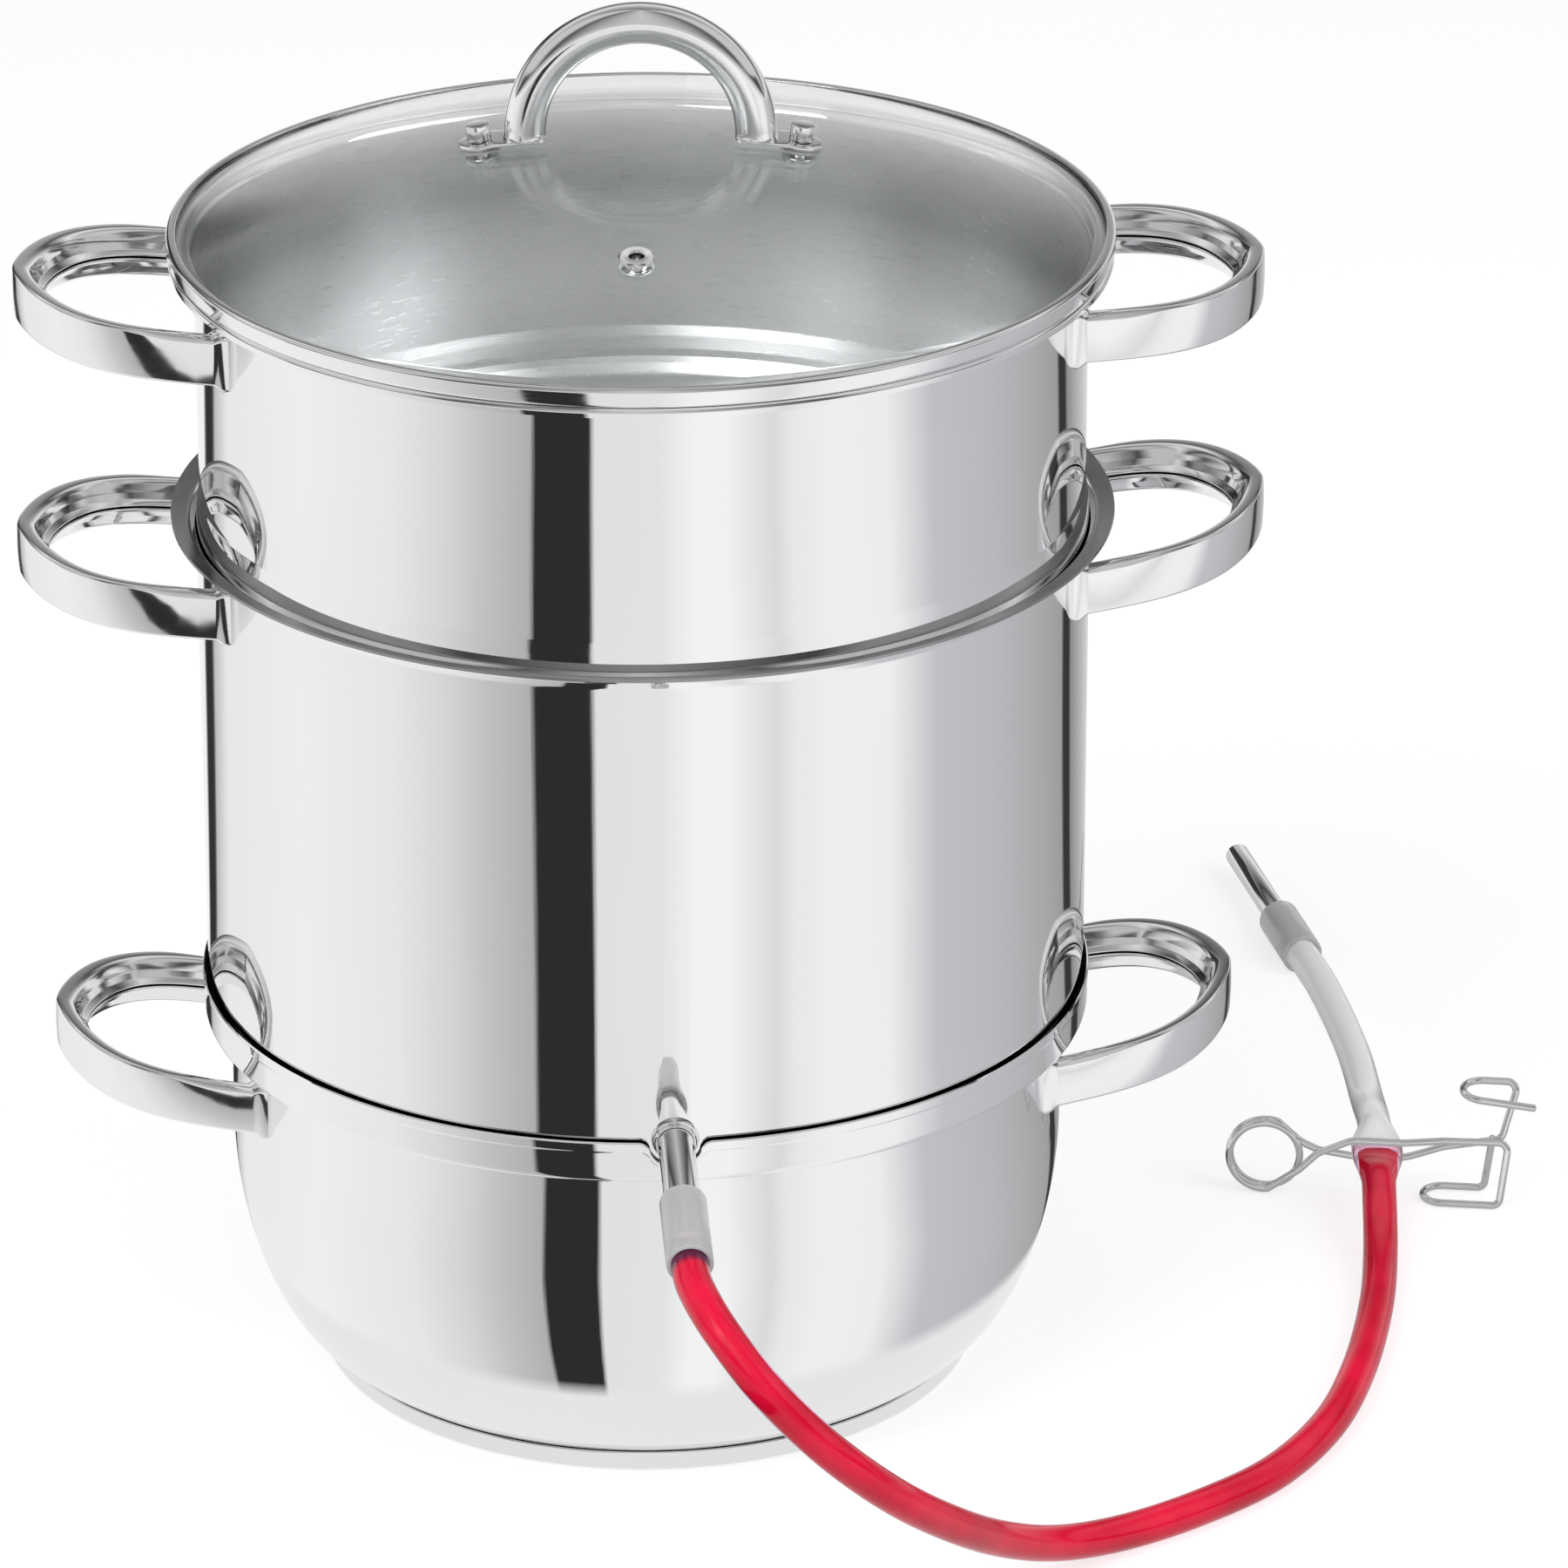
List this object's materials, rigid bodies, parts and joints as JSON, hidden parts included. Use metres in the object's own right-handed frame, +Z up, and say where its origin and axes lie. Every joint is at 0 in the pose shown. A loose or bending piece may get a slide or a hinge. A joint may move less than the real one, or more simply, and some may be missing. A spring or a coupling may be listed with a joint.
{
  "type": "steam juicer",
  "caption": "Stacked steel steam juicer: water pot, juice kettle, perforated fruit basket, domed glass lid, side handles, and a juice hose with a wire pinch clamp and nozzle.",
  "frame": {"origin": "on the vessels' axis, on the flat underside of the base, where the pot stands", "axes": "+Z up along the vessels' axis; -Y towards the spout at the front; side handles along +X and -X"},
  "size_m": [0.4606, 0.5589, 0.4191],
  "materials": {
    "polished_steel": "mirror-polished stainless steel",
    "capsule_base": "satin steel shell pressed over an aluminium core",
    "glass": "clear toughened glass",
    "clear_silicone": "milky clear silicone",
    "frosted_sleeve": "frosted grey translucent sleeve",
    "juice_hose": "milky clear silicone hose filled with red juice"
  },
  "bodies": {
    "pot": {"water_pot": "polished_steel", "pot_base": "capsule_base", "pot_handle_left": "polished_steel", "pot_handle_right": "polished_steel"},
    "kettle": {"juice_kettle": "polished_steel", "steam_chimney": "polished_steel", "kettle_handle_left": "polished_steel", "kettle_handle_right": "polished_steel", "juice_spout": "polished_steel", "spout_collar": "polished_steel", "spout_sleeve": "frosted_sleeve", "hose_from_spout": "juice_hose", "hose_pinched_part": "juice_hose", "hose_to_nozzle": "clear_silicone", "nozzle_sleeve": "frosted_sleeve", "filling_nozzle": "polished_steel", "clamp_fixed_arm": "polished_steel"},
    "basket": {"fruit_basket": "polished_steel", "basket_handle_left": "polished_steel", "basket_handle_right": "polished_steel"},
    "lid": {"lid_glass": "glass", "lid_ring": "polished_steel", "lid_handle": "polished_steel", "lid_stud_left": "polished_steel", "lid_stud_right": "polished_steel", "lid_washer_left": "clear_silicone", "lid_washer_right": "clear_silicone", "vent_eyelet": "polished_steel"},
    "clamp_arm": {"clamp_swing_arm": "polished_steel"}
  },
  "joints": [
    {"name": "kettle_lift", "type": "slide", "parent": "pot", "child": "kettle", "axis": [0, 0, 1], "range_m": [0, 0.15]},
    {"name": "basket_lift", "type": "slide", "parent": "kettle", "child": "basket", "axis": [0, 0, 1], "range_m": [0, 0.15]},
    {"name": "lid_lift", "type": "slide", "parent": "basket", "child": "lid", "axis": [0, 0, 1], "range_m": [0, 0.12]},
    {"name": "clamp_squeeze", "type": "hinge", "parent": "kettle", "child": "clamp_arm", "pos_m": [0.19764, 0.07668, 0.0121], "axis": [0.1908, 0.9816, 0], "range_deg": [0, 10], "stiffness_Nm_per_rad": 0.25, "springref_deg": -2.86}
  ]
}
